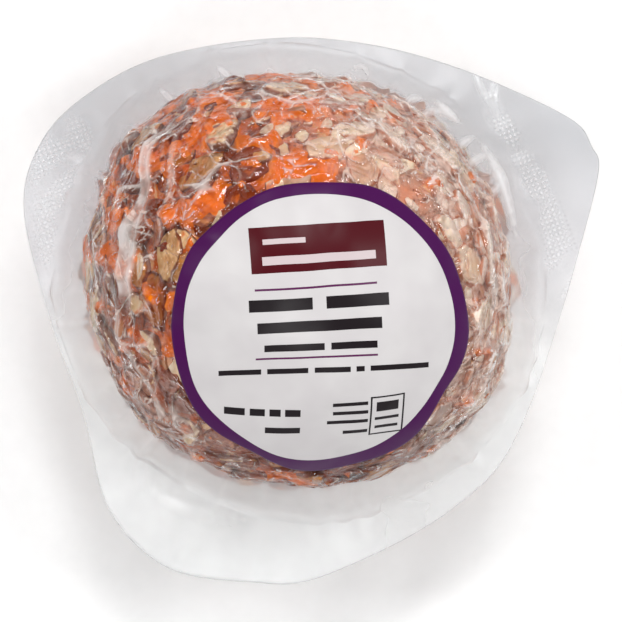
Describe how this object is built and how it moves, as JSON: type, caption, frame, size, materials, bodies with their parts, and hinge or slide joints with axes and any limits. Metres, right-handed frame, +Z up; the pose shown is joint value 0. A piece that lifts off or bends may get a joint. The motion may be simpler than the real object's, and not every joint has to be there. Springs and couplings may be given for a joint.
{
  "type": "vacuum-packed cheese ball",
  "caption": "Ball of cheddar cheese rolled in sliced almonds, sealed in a clear vacuum film with a flat rounded skirt and a round label on top.",
  "frame": {"origin": "middle of the small flat that the ball rests on, under the ball's centre", "axes": "+Z up, out through the top of the ball near the label; +Y towards the top edge of the pack as the label is read; +X to its right"},
  "size_m": [0.116, 0.11, 0.0759],
  "materials": {
    "cheese_and_almonds": "orange cheddar coated with cream and tan almond slices with brown skins, wet-looking under film",
    "clear_film": "clear glossy vacuum film, faintly grey",
    "printed_label": "glossy off-white with a violet ring and a dark red field"
  },
  "bodies": {
    "root": {"cheese_ball": "cheese_and_almonds", "sealed_film": "clear_film", "label": "printed_label"}
  },
  "joints": []
}
